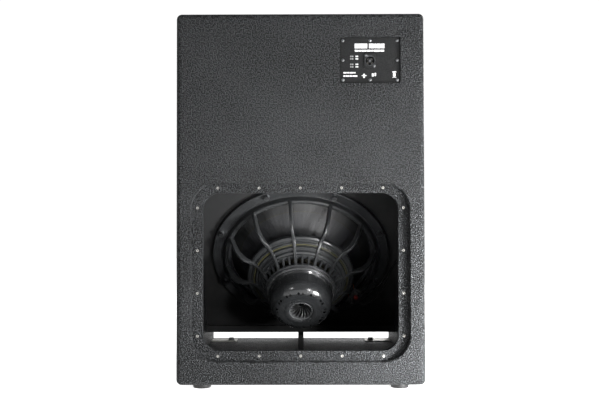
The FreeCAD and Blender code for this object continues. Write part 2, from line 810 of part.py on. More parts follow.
pot = turned("motor_pot", [
    (80.5, plate_rear), (80.5, plate_rear + 3), (pot_radius, plate_rear + 6),
    (pot_radius, pot_rear - pot_shoulder), (pot_radius - pot_shoulder, pot_rear), (42, pot_rear),
    (38, pot_rear + 1.5), (33, pot_rear + 1.5), (vent_radius, pot_rear - 1), (vent_radius, 182), (62, 182),
    (66, 178), (66, plate_rear),
], {3: pot_shoulder})
hole = drill(pot, "XY_Plane", pot_rear + 2,
             [(pot_hole_circle * sin(-5), pot_hole_circle * cos(-5))], pot_hole, 30)
around(pot, [hole], 12)

heat_sink = turned("vent_heat_sink", [
    (27, 184), (vent_radius - 0.1, 184), (vent_radius - 0.1, 196), (27, 196),
])
revolve(heat_sink, outline(sketch_on(heat_sink, "XZ_Plane"), [(5.5, 168), (8.5, 168), (8.5, 174), (5.5, 174)]))
fin = sketch_on(heat_sink, "XZ_Plane")
outline(fin, [(7.5, 168), (26, 168), (28, 184), (28, 196), (24, 195), (7.5, 174)])
around(heat_sink, [pad(heat_sink, fin, 1.8, middle=True)], fin_count)


# ------------------------------------------------------------------ terminals and their wires
def driver_point(radius, turn, level):
    """A point given by its radius, its clockwise angle from the top and its distance to the magnet."""
    way = math.radians(number_of(turn))
    across_baffle = Vector(radius * math.sin(way), radius * math.cos(way), level)
    middle = Vector(0, number_of(driver_y), number_of(driver_z))
    return middle + Rotation(Vector(1, 0, 0), 90 + number_of(tilt)).multVec(across_baffle)


def terminal_body(label, y=0):
    """A body on the terminal board: +X points out from the driver's axis and +Z away from the cone."""
    body = new_body(label)
    spin = Rotation(Vector(0, 0, 1), 90 - number_of(terminal_turn))
    lean = Rotation(Vector(1, 0, 0), 90 + number_of(tilt))
    place = Placement(driver_point(0, 0, 0), lean).multiply(Placement(Vector(), spin))
    offset = Placement(Vector(number_of(terminal_radius), number_of(y), number_of(terminal_level)), Rotation())
    body.Placement = place.multiply(offset)
    return body


board_sheet = 4
sleeve_height = 9
posts = [terminal_spread, -terminal_spread]
terminal_board = terminal_body("terminal_board")
face = sketch_on(terminal_board, "XY_Plane")
rounded(face, -10.5, -25, 11, 25, 3)
pad(terminal_board, face, board_sheet)
for y in posts:
    ring(terminal_board, board_sheet, sleeve_height, 3.7, 5.4, 0, y)


def terminal_button(label, y):
    """A sprung push button: its stem slides in the sleeve until the cap meets the sleeve's rim."""
    body = terminal_body(label, y)
    disc(body, board_sheet + button_travel + 0.5, sleeve_height, 3.4)
    disc(body, board_sheet + sleeve_height + button_travel, 4.5, 5.8)


terminal_button("terminal_button_red", terminal_spread)
terminal_button("terminal_button_black", -terminal_spread)


def cord(name, points, radius, share=0.45):
    """A round cord: straight runs joined by arcs as large as each pair of runs allows."""
    edges = []
    radii = []
    start = points[0]
    for before, corner, after in zip(points, points[1:], points[2:]):
        back, ahead = before - corner, after - corner
        reach = share * min(back.Length, ahead.Length)
        back.normalize()
        ahead.normalize()
        turn = math.pi - back.getAngle(ahead)
        arc_radius = reach / math.tan(turn / 2)
        radii.append(arc_radius)
        tangent_in = corner + back * reach
        tangent_out = corner + ahead * reach
        centre_way = (back + ahead).normalize()
        middle = corner + centre_way * (arc_radius / math.cos(turn / 2) - arc_radius)
        edges.append(Part.LineSegment(start, tangent_in).toShape())
        edges.append(Part.Arc(tangent_in, middle, tangent_out).toShape())
        start = tangent_out
    edges.append(Part.LineSegment(start, points[-1]).toShape())
    path = Part.Wire(edges)
    ends = Part.Circle(points[0], points[1] - points[0], radius).toShape()
    tube = path.makePipeShell([Part.Wire([ends])], True, False)
    expected = math.pi * radius**2 * path.Length
    print(f"{name}: length {path.Length:.0f}, volume ratio {tube.Volume / expected:.4f}, "
          f"radii {min(radii):.0f} to {max(radii):.0f}")
    return tube


def cords(label, *tubes):
    """One or more cords as one sub-part."""
    item = doc.addObject("Part::Feature", "Cord")
    item.Shape = Part.makeCompound(tubes)
    return keep(item, label)


# each wire leaves its terminal, sags, climbs behind the ledge and up the side to the socket's tags
sleeve_side = number_of(terminal_radius) + 7.6
wire_level = number_of(terminal_level) + board_sheet + 5
post_turn = math.degrees(math.atan(number_of(terminal_spread) / number_of(terminal_radius)))
upper_post = driver_point(sleeve_side, number_of(terminal_turn) - post_turn, wire_level)
lower_post = driver_point(sleeve_side, number_of(terminal_turn) + post_turn, wire_level)
tag_y = number_of(plate_face) + number_of(socket_depth) + 8.2
rise = 255.6
negative_route = [
    lower_post, Vector(149, -34, 164), Vector(161, -44, 161), Vector(176, -62, 171), Vector(192, -112, 191),
    Vector(206, -170, 226), Vector(215, -230, 262), Vector(228, -283, 290), Vector(248, -297, 330),
    Vector(rise, -297.5, 380), Vector(rise + 0.4, -297, 450), Vector(rise, -297.5, 520),
    Vector(rise + 0.4, -297, 600), Vector(rise, -297.5, 670), Vector(248, -297, 715),
    Vector(220, -300, 738), Vector(190, -307, 746), Vector(172, tag_y + 4, 747),
    Vector(162.9, tag_y, 744.7),
]
positive_route = [
    upper_post, Vector(156, -52, 190), Vector(176, -78, 201), Vector(196, -120, 217), Vector(210, -170, 244),
    Vector(219, -226, 274), Vector(234, -280, 300), Vector(250, -293, 340),
    Vector(rise, -293.4, 390), Vector(rise + 0.4, -293.2, 460), Vector(rise, -293.4, 530),
    Vector(rise + 0.4, -293.2, 610), Vector(rise, -293.4, 680), Vector(244, -292, 726),
    Vector(212, -294, 752), Vector(180, -302, 762), Vector(160, tag_y + 4, 757),
    Vector(153.2, tag_y, 745.2),
]
cords("wire_negative", cord("negative wire", negative_route, number_of(wire_radius)))
cords("wire_positive", cord("positive wire", positive_route, number_of(wire_radius)))

# tinsel leads: from under the terminal board, past the landing ring, to the back of the cone
lead_radius = 1.1


def lead_route(turn):
    return [driver_point(143, turn, 79.5), driver_point(145, turn, 66), driver_point(140, turn, 50),
            driver_point(128, turn, 40), driver_point(117, turn, 29.5)]


lead_turns = [number_of(terminal_turn) - 6.5, number_of(terminal_turn) + 6.5]
cords("tinsel_leads", *[cord("tinsel lead", lead_route(turn), lead_radius) for turn in lead_turns])

# saddles that hold the two wires to the right side board
clip_levels = [408, 513, 618]
clip = new_body()
saddle = sketch_on(clip, "XY_Plane")
outline(saddle, [
    (inner, -312), (inner - 2, -312), (inner - 2, -302.5), (252.3, -302.5), (252.3, -289), (inner, -289),
    (inner, -290.6), (253.7, -290.6), (253.7, -300.9), (inner, -300.9),
])
pad(clip, saddle, 9)
drill(clip, "YZ_Plane", inner, [(-307.5, 4.5)], 1.7, 5)
copies("cable_clips", clip, [Placement(Vector(0, 0, z), Rotation()) for z in clip_levels])
clip_screw = screw(3.2, 1.8, 1.5, 12)
left_facing = Rotation(Vector(0, 1, 0), -90)
copies("clip_screws", clip_screw,
       [Placement(Vector(number_of(inner) - 2, -307.5, z + 4.5), left_facing) for z in clip_levels])
drill(doc.getObjectsByLabel("side_panel_right")[0], "YZ_Plane", inner,
      [(-307.5, z + 4.5) for z in clip_levels], 1.6, 12, reverse=True)


# ------------------------------------------------------------------ handles
def handle(side, word):
    """A dished handle: a cup let into the side board and a bar across it; side is -1 or 1."""
    face = side * (half - cup_rebate + cup_wall)
    cup = new_body(f"handle_cup_{word}")
    rim = sketch_on(cup, "YZ_Plane", face)
    rounded(rim, handle_y - flange_long, handle_z - flange_tall, handle_y + flange_long,
            handle_z + flange_tall, flange_corner)
    pad(cup, rim, cup_wall, reverse=side > 0)
    tub = sketch_on(cup, "YZ_Plane", face)
    rounded(tub, handle_y - cup_long, handle_z - cup_tall, handle_y + cup_long, handle_z + cup_tall,
            cup_corner)
    pad(cup, tub, cup_depth, reverse=side > 0)
    hollow = sketch_on(cup, "YZ_Plane", face)
    rounded(hollow, handle_y - cup_long + cup_wall, handle_z - cup_tall + cup_wall,
            handle_y + cup_long - cup_wall, handle_z + cup_tall - cup_wall, cup_corner - cup_wall)
    pocket(cup, hollow, cup_depth - cup_wall, reverse=side < 0)
    drill(cup, "YZ_Plane", face, handle_marks, 1.9, 5, reverse=side < 0)
    bar = new_body(f"handle_bar_{word}")
    reach = cup_long - cup_wall
    end = sketch_on(bar, "XZ_Plane", -(handle_y - reach))
    circle(end, side * (half - bar_radius - 5), handle_z + 13, bar_radius)
    pad(bar, end, 2 * reach, reverse=True)


handle(-1, "left")
handle(1, "right")
handle_screw = screw(3.6, 1.9, 1.5, 14)
face_x = number_of(half - cup_rebate + cup_wall)
copies("handle_screws", handle_screw, [
    Placement(Vector(side * face_x, number_of(y), number_of(z)), Rotation(Vector(0, 1, 0), side * 90))
    for side in (-1, 1) for y, z in handle_marks])


# ------------------------------------------------------------------ pole mount
pole_level = high - 2
pole = new_body("pole_mount")
ring(pole, pole_level - 4, 4, pole_bore, pole_flange)
ring(pole, pole_level - 50, 47, pole_bore, 19)
drill(pole, "XY_Plane", pole_level, pole_marks, 2.1, 6)
pole_screws = screw(3.6, 1.9, 1.8, 14)
copies("pole_mount_screws", pole_screws,
       [Placement(Vector(x, y, number_of(pole_level)), Rotation()) for x, y in pole_marks])


# ------------------------------------------------------------------ check and write
doc.recompute()
for item in doc.Objects:
    if {"Invalid", "Error"} & set(item.State):
        raise RuntimeError(f"{item.Label} failed: {item.State}")
os.makedirs("parts", exist_ok=True)
for item in parts:
    shape = item.Shape
    if shape.isNull() or not shape.isValid() or not shape.Solids:
        raise RuntimeError(f"{item.Label} has no valid solid")
    shape.exportStep(f"parts/{item.Label}.step")
print(len(parts), "sub-parts written")
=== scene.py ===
import json
import math

import bmesh
import bpy
import numpy as np
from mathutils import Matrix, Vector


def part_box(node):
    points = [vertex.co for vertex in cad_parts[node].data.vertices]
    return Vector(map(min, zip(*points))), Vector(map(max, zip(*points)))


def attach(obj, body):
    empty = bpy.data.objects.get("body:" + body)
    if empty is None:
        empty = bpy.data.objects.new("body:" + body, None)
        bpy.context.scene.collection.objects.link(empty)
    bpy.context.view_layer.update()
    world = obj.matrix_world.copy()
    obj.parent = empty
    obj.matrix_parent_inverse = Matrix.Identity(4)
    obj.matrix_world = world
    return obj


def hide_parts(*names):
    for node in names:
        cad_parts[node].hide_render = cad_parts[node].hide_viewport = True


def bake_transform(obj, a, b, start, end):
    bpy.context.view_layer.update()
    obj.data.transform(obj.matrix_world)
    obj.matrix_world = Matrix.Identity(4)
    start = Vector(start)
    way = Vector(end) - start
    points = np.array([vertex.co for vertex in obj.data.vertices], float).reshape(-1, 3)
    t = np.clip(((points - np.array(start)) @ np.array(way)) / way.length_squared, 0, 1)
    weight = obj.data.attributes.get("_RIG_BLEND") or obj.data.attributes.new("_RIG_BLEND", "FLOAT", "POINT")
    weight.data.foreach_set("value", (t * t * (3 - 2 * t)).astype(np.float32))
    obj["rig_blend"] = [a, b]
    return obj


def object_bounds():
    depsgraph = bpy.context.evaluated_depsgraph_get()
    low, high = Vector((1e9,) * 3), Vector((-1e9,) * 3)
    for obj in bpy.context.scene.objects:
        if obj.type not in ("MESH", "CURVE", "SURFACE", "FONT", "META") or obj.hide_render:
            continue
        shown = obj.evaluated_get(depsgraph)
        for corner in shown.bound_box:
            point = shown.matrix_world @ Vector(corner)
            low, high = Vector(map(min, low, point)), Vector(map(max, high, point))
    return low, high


# A tall portable bass loudspeaker seen from behind with its rear hatch open. Metres in the model's own frame:
# +Z up, the rear face towards -Y. Lists of profile points are in millimetres, and turned to metres where
# they are used.
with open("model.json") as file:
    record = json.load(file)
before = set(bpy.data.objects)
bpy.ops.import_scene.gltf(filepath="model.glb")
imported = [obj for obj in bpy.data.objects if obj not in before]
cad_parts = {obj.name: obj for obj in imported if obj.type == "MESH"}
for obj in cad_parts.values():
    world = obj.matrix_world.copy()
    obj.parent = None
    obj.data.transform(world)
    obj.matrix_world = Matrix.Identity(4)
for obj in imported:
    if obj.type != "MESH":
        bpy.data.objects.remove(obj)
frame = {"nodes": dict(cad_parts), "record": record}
cad_box = [list(corner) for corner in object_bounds()]
mm = 0.001
plate_middle = (0.158, 0.741)


# ------------------------------------------------------------------ finishes
class Field:
    """A value that varies over a surface. Sums and products of fields and numbers add Math nodes."""

    def __init__(self, finish, socket):
        self.finish = finish
        self.socket = socket

    def maths(self, operation, *values):
        """The output of a Math node fed with the values."""
        return self.finish.node("ShaderNodeMath", {"operation": operation}, dict(enumerate(values)))

    def __add__(self, other):
        return self.maths("ADD", self, other)

    __radd__ = __add__

    def __sub__(self, other):
        return self.maths("SUBTRACT", self, other)

    def __rsub__(self, other):
        return self.maths("SUBTRACT", other, self)

    def __mul__(self, other):
        return self.maths("MULTIPLY", self, other)

    __rmul__ = __mul__

    def __pow__(self, other):
        return self.maths("POWER", self, other)

    def sine(self):
        """The sine of a field in radians."""
        return self.maths("SINE", self)

    def wrapped(self, span):
        """What is left of the field above a whole number of spans, from 0 up to span."""
        return self.maths("WRAP", self, span, 0)

    def between(self, low, high):
        """0 below low, 1 above high and a straight ramp between."""
        ramp = (self - low) * (1 / (high - low))
        return ramp.maths("MINIMUM", ramp.maths("MAXIMUM", ramp, 0), 1)


class Finish:
    """A procedural material: a node tree on Object coordinates, and the one method that adds its nodes."""

    def __init__(self, name):
        self.material = bpy.data.materials.new(name)
        self.material.use_nodes = True
        self.tree = self.material.node_tree
        self.tree.nodes.clear()
        self.place = self.node("ShaderNodeTexCoord", output="Object")

    def node(self, kind, settings=None, inputs=None, output=0):
        """Adds a node, makes its settings, feeds its sockets with numbers, colours or fields, and gives one
        output, if the node has any."""
        made = self.tree.nodes.new(kind)
        for name, value in (settings or {}).items():
            setattr(made, name, value)
        for name, value in (inputs or {}).items():
            if isinstance(value, Field):
                self.tree.links.new(value.socket, made.inputs[name])
            else:
                made.inputs[name].default_value = value
        return Field(self, made.outputs[output]) if made.outputs else None

    def noise(self, scale, detail=2, where=None):
        """Cloudy noise; scale is lumps to the metre."""
        inputs = {"Vector": where or self.place, "Scale": scale, "Detail": detail, "Roughness": 0.55}
        return self.node("ShaderNodeTexNoise", None, inputs, "Fac")

    def cells(self, scale):
        """Distance to the nearest of many scattered points: pits and pebbles."""
        inputs = {"Vector": self.place, "Scale": scale}
        return self.node("ShaderNodeTexVoronoi", None, inputs, "Distance")

    def stretched(self, x, y, z):
        """The place with each axis scaled, so that a pattern runs long where its number is small."""
        inputs = {0: self.place, 1: (x, y, z)}
        return self.node("ShaderNodeVectorMath", {"operation": "MULTIPLY"}, inputs)

    def along(self, direction, start=(0, 0, 0)):
        """Distance from start along a direction, in metres."""
        way = self.node("ShaderNodeVectorMath", {"operation": "SUBTRACT"}, {0: self.place, 1: tuple(start)})
        inputs = {0: way, 1: tuple(direction)}
        return self.node("ShaderNodeVectorMath", {"operation": "DOT_PRODUCT"}, inputs, "Value")

    def mix(self, mask, first, second):
        """The first colour where mask is 0, the second where it is 1."""
        inputs = {0: mask, 6: first, 7: second}
        return self.node("ShaderNodeMix", {"data_type": "RGBA"}, inputs, 2)

    def done(self, colour, roughness, relief=None, height=0.0, strength=1.0, **constants):
        """Closes the tree: a Principled surface, its relief as a bump of that height, and other inputs by
        socket name."""
        inputs = {"Base Color": colour, "Roughness": roughness}
        inputs.update({name.replace("_", " "): value for name, value in constants.items()})
        if relief is not None:
            inputs["Normal"] = self.node(
                "ShaderNodeBump", None, {"Strength": strength, "Distance": height, "Height": relief})
        shader = self.node("ShaderNodeBsdfPrincipled", None, inputs)
        self.node("ShaderNodeOutputMaterial", None, {"Surface": shader})
        return self.material


def grey(value, warm=0.0):
    """An opaque grey, warmer with a positive second number and bluer with a negative one."""
    return (value * (1 + warm), value, value * (1 - warm), 1)


def textured_paint(name, dark, light, gloss, grain=430, height=0.0012):
    """Sprayed crinkle paint: pebbles whose raised tops are coloured pale as painted highlights, dark pits
    between them, and a cloudy shift of tone."""
    f = Finish(name)
    fine = f.noise(grain, 2)
    pebble = f.cells(grain * 0.75)
    cloud = f.noise(7, 3).between(0.35, 0.65)
    painted_highlight_noise = f.noise(grain, 1).between(0.44, 0.62)
    relief = painted_highlight_noise * 0.6 + fine * 0.5 - pebble * 0.35
    # painted highlight: where the noise is high, on the raised pebble tops, the colour is pale like glints
    colour = f.mix(painted_highlight_noise * 0.85 + cloud * 0.15, grey(dark, -0.06), grey(light, -0.06))
    return f.done(colour, fine * 0.25 + gloss, relief, height, 1.0, Specular_IOR_Level=0.22)


def plain_wood_paint(name, value):
    """Thin matt paint over plywood: long raised grain along the board with a soft cloud of dust."""
    f = Finish(name)
    grain = f.noise(60, 4, f.stretched(0.35, 5, 1.0))
    dust = f.noise(14, 4).between(0.45, 0.8)
    fine = f.noise(700, 2)
    colour = f.mix(dust * 0.5, grey(value, -0.02), grey(value * 2.2, 0.02))
    return f.done(colour, fine * 0.1 + 0.85, grain * 0.7 + fine * 0.3, 0.0006, 0.6, Specular_IOR_Level=0.2)


def cast_paint(name, value, gloss, grain=160, height=0.00035, holes=None):
    """Powder coat on a casting: low orange peel, a little dust where it is cloudy and scattered pin pricks.
    Round spots, given as their count, circle, radius and first turn about the driver's axis, are coloured
    near-black without coat, as the painted shade of holes."""
    f = Finish(name)
    peel = f.noise(grain, 2)
    pins = f.cells(grain * 3)
    dust = f.noise(22, 4).between(0.5, 0.85)
    colour = f.mix(dust * 0.45, grey(value, -0.05), grey(value * 2.0, -0.02))
    coat = 0.3
    if holes:
        count, circle, hole, first = holes
        radius, turn = driver_fields(f)
        pitch = 2 * math.pi / count
        aside = (turn - first + pitch / 2).wrapped(pitch) - pitch / 2
        painted_hole_shade = (((radius - circle) ** 2 + (aside * circle) ** 2) ** 0.5).between(hole * 1.08, hole * 0.9)
        # painted shade: near-black round spots without coat, standing for the dark insides of holes
        colour = f.mix(painted_hole_shade, colour, grey(0.0004))
        coat = 0.3 - painted_hole_shade * 0.3
        dust = dust * 0.12 + painted_hole_shade
    roughness = peel * 0.18 + gloss + dust * 0.12
    return f.done(colour, roughness, peel - pins * 0.12, height, 0.7, Coat_Weight=coat, Coat_Roughness=0.15,
                  Specular_IOR_Level=0.4)


def moulded(name, colour, gloss, grain=900, height=0.0001, sheen=0.0):
    """Moulded plastic or rubber: a fine spark-eroded grain and faint flow clouds."""
    f = Finish(name)
    fine = f.noise(grain, 2)
    flow = f.noise(30, 3).between(0.3, 0.75)
    pale = tuple(min(1, c * 1.5 + 0.004) for c in colour[:3]) + (1,)
    shade = f.mix(flow * 0.6, colour, pale)
    return f.done(shade, fine * 0.16 + gloss + flow * 0.06, fine, height, 0.8, Sheen_Weight=sheen)


def ringed_plastic(name, dark, pale):
    """Black plastic round a speaker socket: the moulded ring round its mouth and the key in its middle are
    coloured pale as painted highlights, broken up by a noise."""
    f = Finish(name)
    middle = (plate_middle[0], 0, plate_middle[1] - 0.001)
    side, rise = f.along((1, 0, 0), middle), f.along((0, 0, 1), middle)
    radius = (side * side + rise * rise) ** 0.5
    ring = radius.between(0.0088, 0.0094) * radius.between(0.0116, 0.011)
    key = radius.between(0.0026, 0.002)
    fine = f.noise(1200, 2)
    painted_highlight_noise = f.noise(260, 2).between(0.3, 0.7) * 0.5 + 0.5
    # painted highlight: the socket's ring and middle key are coloured pale, broken up by noise
    colour = f.mix((ring + key) * painted_highlight_noise, grey(dark, -0.1), grey(pale, -0.05))
    return f.done(colour, fine * 0.16 + 0.3, fine, 0.0001, 0.8)


def plated(name, colour, gloss, grain=240):
    """Plated or oxidised steel: cloudy tarnish, fine tumbling marks and roughness that follows them."""
    f = Finish(name)
    marks = f.noise(grain * 4, 3, f.stretched(1, 3, 0.6))
    cloud = f.noise(grain * 0.4, 3).between(0.35, 0.7)
    darker = tuple(c * 0.6 for c in colour[:3]) + (1,)
    shade = f.mix(cloud * 0.7, colour, darker)
    return f.done(shade, marks * 0.2 + gloss + cloud * 0.1, marks, 0.00004, 0.6, Metallic=1.0)


def open_foam(name, value, grain=700):
    """Open-cell foam: a net of tiny dark pores."""
    f = Finish(name)
    pores = f.cells(grain).between(0.1, 0.6)
    colour = f.mix(pores, grey(value * 2.6), grey(value * 0.5))
    return f.done(colour, pores * 0.1 + 0.88, 1 - pores, 0.0009, 0.9, Sheen_Weight=0.2)


def driver_fields(f):
    """Radius from the driver's axis in metres and turn about it in radians."""
    side = f.along(across, driver_middle)
    rise = f.along(uphill, driver_middle)
    radius = (side * side + rise * rise) ** 0.5
    return radius, radius.maths("ARCTAN2", rise, side)


def round_cloth(name, thread, gap, sheen, gloss=0.75):
    """Doped cloth formed in rings: warp along the rings and weft across them, one over the other, with
    resin blotches."""
    f = Finish(name)
    radius, turn = driver_fields(f)
    rings = (radius * (2 * math.pi / 0.0011)).sine()
    spokes = (turn * 420).sine()
    weave = rings * spokes * 0.5 + 0.5
    blotch = f.noise(45, 4).between(0.35, 0.7)
    colour = f.mix(weave.between(0.1, 0.9), gap, thread)
    pale = tuple(min(1, c * 1.45) for c in thread[:3]) + (1,)
    colour = f.mix(blotch * 0.45, colour, pale)
    return f.done(colour, gloss - blotch * 0.2, weave + blotch * 0.3, 0.00025, 0.7, Sheen_Weight=sheen)


def cone_paper(name):
    """Pressed pulp, lighter grey inside a radius of 158 mm and darker from there out to the rim: radial
    pressing lines, flecks of fibre and soft shiny patches of lacquer."""
    f = Finish(name)
    radius, turn = driver_fields(f)
    fibre = f.noise(520, 4, f.stretched(1, 0.4, 1.6))
    lines = (turn * 90 + radius * 60).sine()
    lacquer = f.noise(18, 3).between(0.35, 0.65)
    colour = f.mix(fibre.between(0.4, 0.75), (0.008, 0.0084, 0.01, 1), (0.024, 0.025, 0.029, 1))
    # darker beyond a radius of 158 mm, out to the rim
    colour = f.mix(radius.between(0.1575, 0.1588), colour, grey(0.007, -0.05))
    roughness = 0.5 - lacquer * 0.16 + fibre * 0.1
    return f.done(colour, roughness, fibre + lines * 0.12, 0.0005, 0.7, Coat_Weight=0.3, Coat_Roughness=0.25)


def wound_copper(name):
    """Enamelled wire laid side by side: ridges along the coil's axis at the wire's pitch."""
    f = Finish(name)
    level = f.along(axis, driver_middle)
    ridge = (level * (2 * math.pi / 0.0006)).sine()
    cloud = f.noise(120, 3)
    colour = f.mix(cloud.between(0.35, 0.7), (0.72, 0.3, 0.13, 1), (0.5, 0.19, 0.08, 1))
    return f.done(colour, cloud * 0.15 + 0.25, ridge, 0.00012, 0.8, Metallic=1.0)


# ------------------------------------------------------------------ surfaces
def about(middle, right, top, way):
    """A placing function for round things: a point is middle plus its radius times (sin turn) along right and
    (cos turn) along top, plus its level along way. Radius and level are millimetres."""
    middle, right, top, way = (np.array(v, float) for v in (middle, right, top, way))

    def place(radius, turn, level):
        radius, turn, level = np.broadcast_arrays(radius, turn, level)
        flat = (radius * np.sin(turn))[..., None] * right + (radius * np.cos(turn))[..., None] * top
        return middle + mm * (flat + level[..., None] * way)

    return place


def eased(corners, reach=0.8, steps=5, closed=True):
    """A line through corners with each corner replaced by a quadratic curve from a point `reach` before it
    to one as far after it, or at most 0.45 of the side it is on. The ends of an open line stay."""
    here = np.array(corners, float)
    before = np.roll(here, 1, axis=0) - here
    after = np.roll(here, -1, axis=0) - here
    if not closed:
        before[0] = after[-1] = 0
    sides = np.stack([np.linalg.norm(before, axis=1), np.linalg.norm(after, axis=1)])
    cut = np.minimum(reach, 0.45 * sides) / np.maximum(sides, 1e-9)
    start = here + before * cut[0][:, None]
    end = here + after * cut[1][:, None]
    t = np.linspace(0, 1, steps)[None, :, None]
    curve = (1 - t) ** 2 * start[:, None] + 2 * t * (1 - t) * here[:, None] + t**2 * end[:, None]
    return curve.reshape(-1, here.shape[1])


def spaced(corners, count, reach=6):
    """An eased open line read at `count` evenly spaced distances."""
    line = eased(corners, reach, 8, closed=False)
    steps = np.concatenate([[0], np.cumsum(np.linalg.norm(np.diff(line, axis=0), axis=1))])
    wanted = np.linspace(0, steps[-1], count)
    return np.stack([np.interp(wanted, steps, column) for column in line.T], axis=-1)


def lathe(place, profile, segments=192):
    """A closed profile of radius and level carried once round the axis of a placing function."""
    turn = np.linspace(0, 2 * np.pi, segments, endpoint=False)[:, None]
    return place(profile[None, :, 0], turn, profile[None, :, 1]), True, True


def barred(place, inner, outer, half_width, turn, sides=20, squareness=0.45):
    """A bar that follows two lines, inner and outer, of radius and level: its section is a superellipse
    whose depth joins the two and whose half width is given at every step. Each end closes to a point at its
    middle."""
    centre = (inner + outer) / 2
    depth = (outer - inner) / 2
    t = np.linspace(0, 2 * np.pi, sides, endpoint=False)
    wide = np.sign(np.cos(t)) * np.abs(np.cos(t)) ** squareness
    deep = np.sign(np.sin(t)) * np.abs(np.sin(t)) ** squareness
    rows = np.concatenate([[0], np.arange(len(centre)), [len(centre) - 1]])
    swell = np.concatenate([[0], np.ones(len(centre)), [0]])[:, None]
    section = centre[rows][:, None, :] + depth[rows][:, None, :] * deep[None, :, None] * swell[..., None]
    shift = half_width[rows][:, None] * wide[None, :] * swell
    radius = np.hypot(section[..., 0], shift)
    return place(radius, turn + np.arctan2(shift, section[..., 0]), section[..., 1]), False, True


def slab(outline, normal, stack):
    """A flat plate with a closed outline in space: each (share, level) of the stack is the outline scaled
    about its middle by that share and moved along the normal; the stack starts and ends with a share of 0."""
    middle = outline.mean(axis=0)
    share = np.array([s for s, _ in stack], float)[:, None, None]
    level = np.array([v for _, v in stack], float)[:, None, None]
    return middle + (outline - middle)[None] * share + level * np.array(normal, float), False, True


def rounded_rectangle(width, height, corner, steps=6):
    """The outline of a rectangle with quarter-circle corners, about the origin."""
    quarter = np.linspace(0, np.pi / 2, steps)
    turn = (np.arange(4)[:, None] * np.pi / 2 + quarter[None]).ravel()
    side_x = np.repeat([1, -1, -1, 1], steps) * (width / 2 - corner)
    side_y = np.repeat([1, 1, -1, -1], steps) * (height / 2 - corner)
    return np.stack([side_x + corner * np.cos(turn), side_y + corner * np.sin(turn)], axis=-1)


def grid_faces(rows, columns, wrap_rows, wrap_columns, first):
    """The four-cornered faces of a grid whose points are numbered row by row from first."""
    numbers = np.arange(rows * columns).reshape(rows, columns) + first
    if wrap_rows:
        numbers = np.vstack([numbers, numbers[:1]])
    if wrap_columns:
        numbers = np.hstack([numbers, numbers[:, :1]])
    corners = [numbers[:-1, :-1], numbers[1:, :-1], numbers[1:, 1:], numbers[:-1, 1:]]
    return np.stack(corners, axis=-1).reshape(-1, 4)


def mesh_of(name, sheets, crease=38):
    """One mesh from several grids of points, each with its two wrap flags: points that meet are merged,
    faces turn outwards, and edges sharper than the crease angle stay sharp."""
    points, faces, count = [], [], 0
    for grid, wrap_rows, wrap_columns in sheets:
        faces.append(grid_faces(grid.shape[0], grid.shape[1], wrap_rows, wrap_columns, count))
        points.append(grid.reshape(-1, 3))
        count += grid.shape[0] * grid.shape[1]
    mesh = bpy.data.meshes.new(name)
    mesh.from_pydata(np.concatenate(points), [], np.concatenate(faces))
    work = bmesh.new()
    work.from_mesh(mesh)
    bmesh.ops.remove_doubles(work, verts=work.verts, dist=1e-6)
    bmesh.ops.recalc_face_normals(work, faces=work.faces)
    work.to_mesh(mesh)
    work.free()
    mesh.polygons.foreach_set("use_smooth", np.ones(len(mesh.polygons), bool))
    mesh.set_sharp_from_angle(angle=math.radians(crease))
    return mesh


def shown(name, data, slot, material=None):
    """Puts a finished mesh or curve in the scene with the finish of its slot."""
    piece = bpy.data.objects.new(name, data)
    bpy.context.scene.collection.objects.link(piece)
    data.materials.append(material or finishes[slot])
    return piece


def fixed(name, data, slot, *stands_for, material=None):
    """A piece that stays with the cabinet and stands for CAD nodes."""
    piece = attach(shown(name, data, slot, material), "cabinet")
    if stands_for:
        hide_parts(*stands_for)
    return piece


def flexing(name, data, slot, node, share):
    """A piece between the fixed frame and the moving cone: share gives each point's part in the cone's
    travel, from its radius and level in millimetres, and is eased as 3 share² - 2 share³."""
    piece = shown(name, data, slot)
    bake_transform(piece, "cabinet", "cone_assembly", driver_middle, driver_middle + axis * 0.01)
    points = np.zeros(len(data.vertices) * 3)
    data.vertices.foreach_get("co", points)
    away = points.reshape(-1, 3) - driver_middle
    radius = np.hypot(away @ across, away @ uphill) / mm
    eased_share = np.clip(share(radius, away @ axis / mm), 0, 1)
    eased_share = eased_share**2 * (3 - 2 * eased_share)
    data.attributes["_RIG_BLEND"].data.foreach_set("value", eased_share.astype(np.float32))
    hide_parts(node)
    return piece


# ------------------------------------------------------------------ the driver's frame
tilt = math.radians(40)
driver_middle = np.array([0, -0.005, 0.283])
across = np.array([1.0, 0, 0])
uphill = np.array([0, -math.sin(tilt), math.cos(tilt)])
axis = np.array([0, -math.cos(tilt), -math.sin(tilt)])
at_driver = about(driver_middle, across, uphill, axis)

